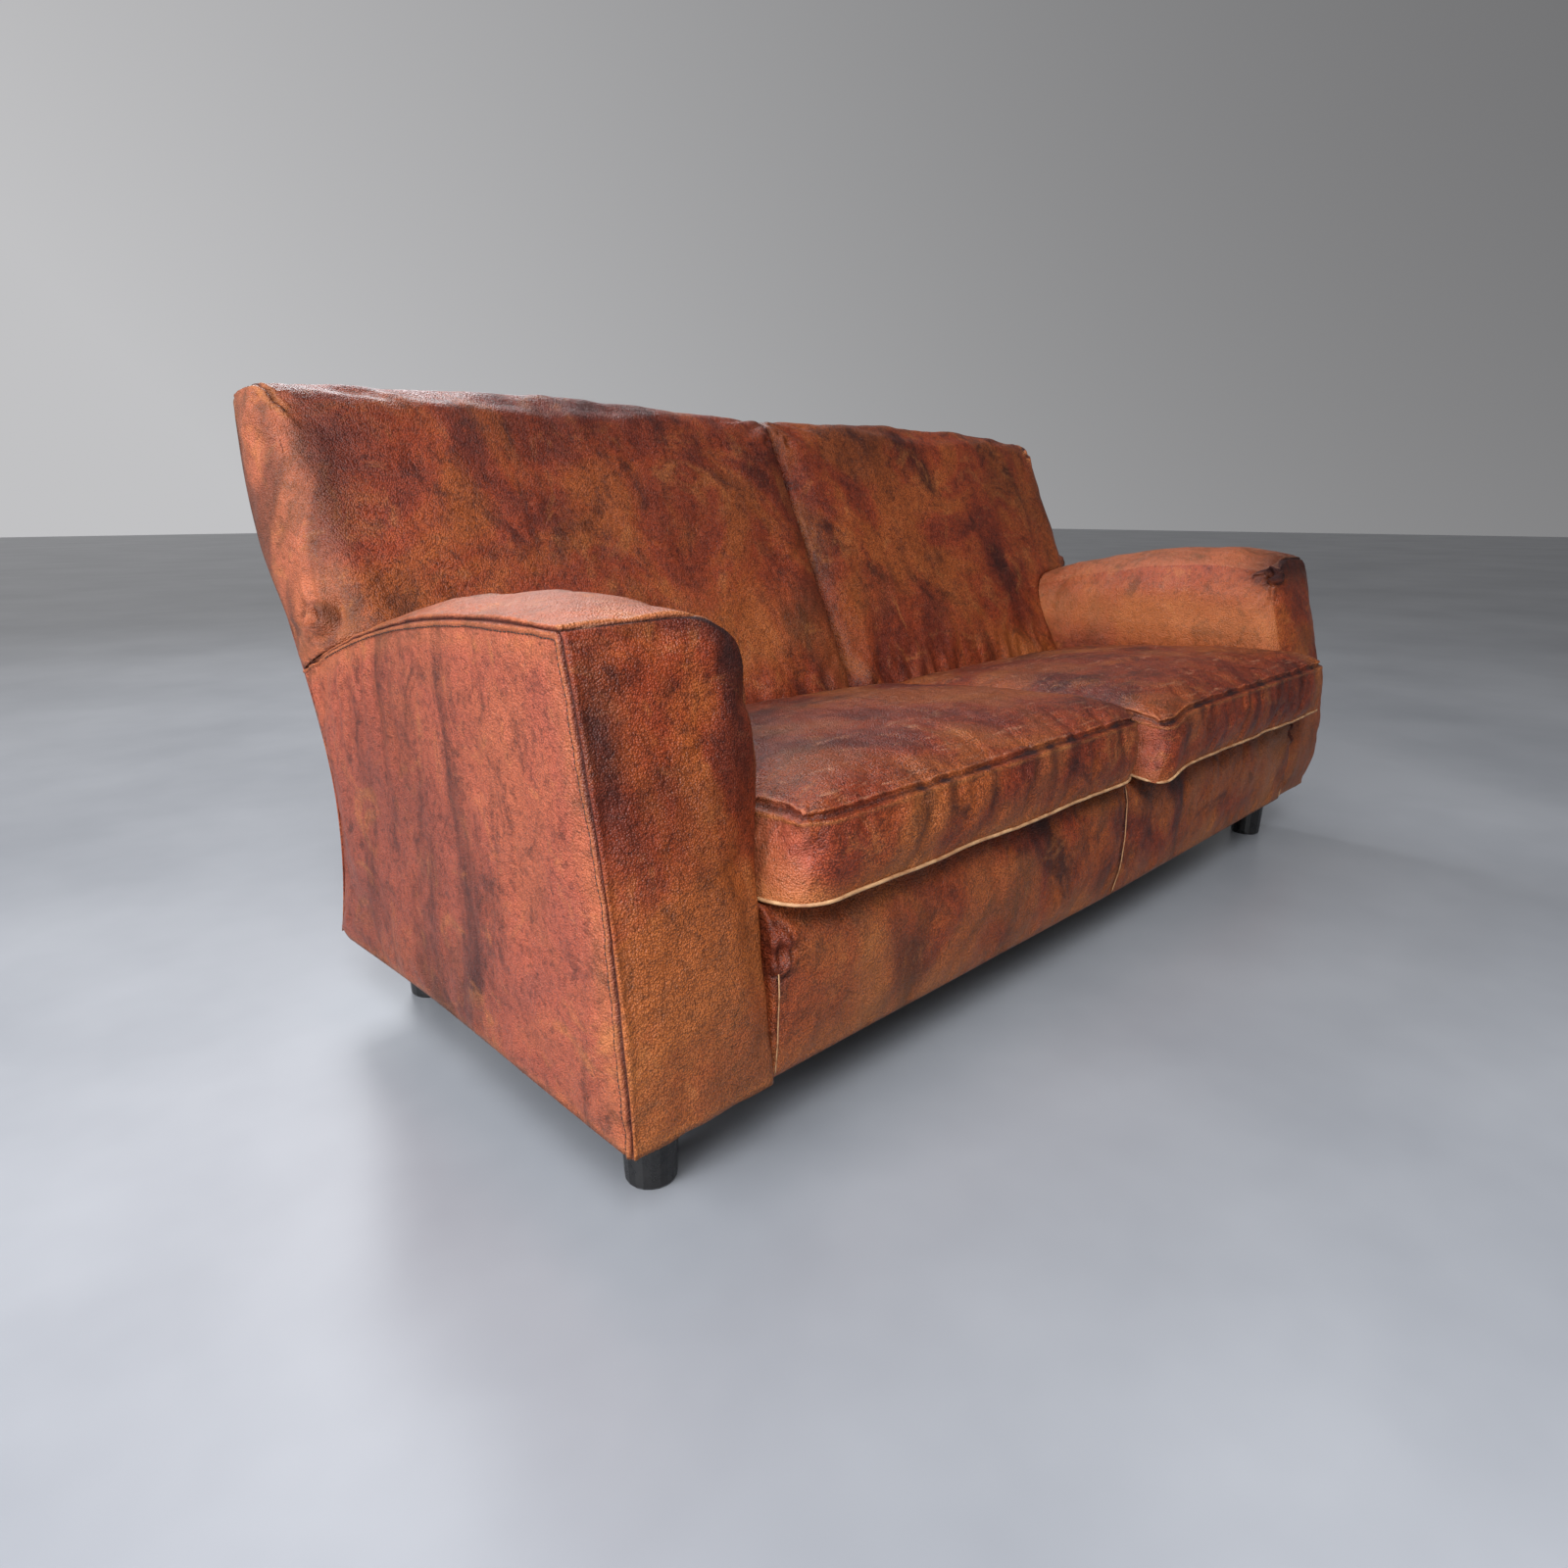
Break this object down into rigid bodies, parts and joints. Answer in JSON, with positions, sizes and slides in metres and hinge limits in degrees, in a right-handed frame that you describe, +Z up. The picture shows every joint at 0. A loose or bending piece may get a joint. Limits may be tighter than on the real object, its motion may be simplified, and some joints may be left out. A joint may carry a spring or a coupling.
{
  "type": "worn leather sofa",
  "caption": "Low two-seat sofa in worn brown leather, with padded arms, tall fixed back units, loose boxed seat cushions and short round black feet.",
  "frame": {"origin": "on the floor, under the middle of the sofa's bounding box", "axes": "+X along the sofa's length, to the right of someone who faces it; +Y to its back; +Z up"},
  "size_m": [1.868, 0.896, 0.874],
  "materials": {
    "leather": "worn, mottled, soft sheen",
    "foam": "open cell foam",
    "wood": "rough sawn hardwood",
    "board": "raw board",
    "steel": "plain wire",
    "webbing": "woven elastic webbing",
    "felt": "pressed felt",
    "dust_cloth": "thin non-woven cloth",
    "foot": "satin black"
  },
  "bodies": {
    "root": {"front_rail": "wood", "rear_rail": "wood", "centre_rail": "wood", "centre_back_post": "wood", "right_back_post": "wood", "left_back_post": "wood", "back_lower_rail": "wood", "back_top_rail": "wood", "right_wing_board": "board", "left_wing_board": "board", "right_arm_base": "wood", "left_arm_base": "wood", "right_arm_front_post": "wood", "left_arm_front_post": "wood", "right_arm_rear_post": "wood", "left_arm_rear_post": "wood", "right_arm_top_board": "wood", "left_arm_top_board": "wood", "right_arm_side_board": "board", "left_arm_side_board": "board", "right_front_foot": "foot", "left_front_foot": "foot", "right_front_foot_bolt": "steel", "left_front_foot_bolt": "steel", "right_rear_foot": "foot", "left_rear_foot": "foot", "right_rear_foot_bolt": "steel", "left_rear_foot_bolt": "steel", "right_seat_spring_1": "steel", "left_seat_spring_1": "steel", "right_seat_spring_2": "steel", "left_seat_spring_2": "steel", "right_seat_spring_3": "steel", "left_seat_spring_3": "steel", "right_seat_spring_4": "steel", "left_seat_spring_4": "steel", "right_back_strap_1": "webbing", "left_back_strap_1": "webbing", "right_back_strap_2": "webbing", "left_back_strap_2": "webbing", "right_back_strap_3": "webbing", "left_back_strap_3": "webbing", "seat_deck": "felt", "dust_cover": "dust_cloth", "apron_foam": "foam", "apron_cover": "leather", "right_arm_foam": "foam", "left_arm_foam": "foam", "right_arm_cover": "leather", "left_arm_cover": "leather", "right_back_foam": "foam", "left_back_foam": "foam", "right_back_cover": "leather", "left_back_cover": "leather", "outside_back": "leather", "left_seat_cover": "leather", "left_seat_foam": "foam", "right_seat_cover": "leather", "right_seat_foam": "foam"}
  },
  "joints": []
}
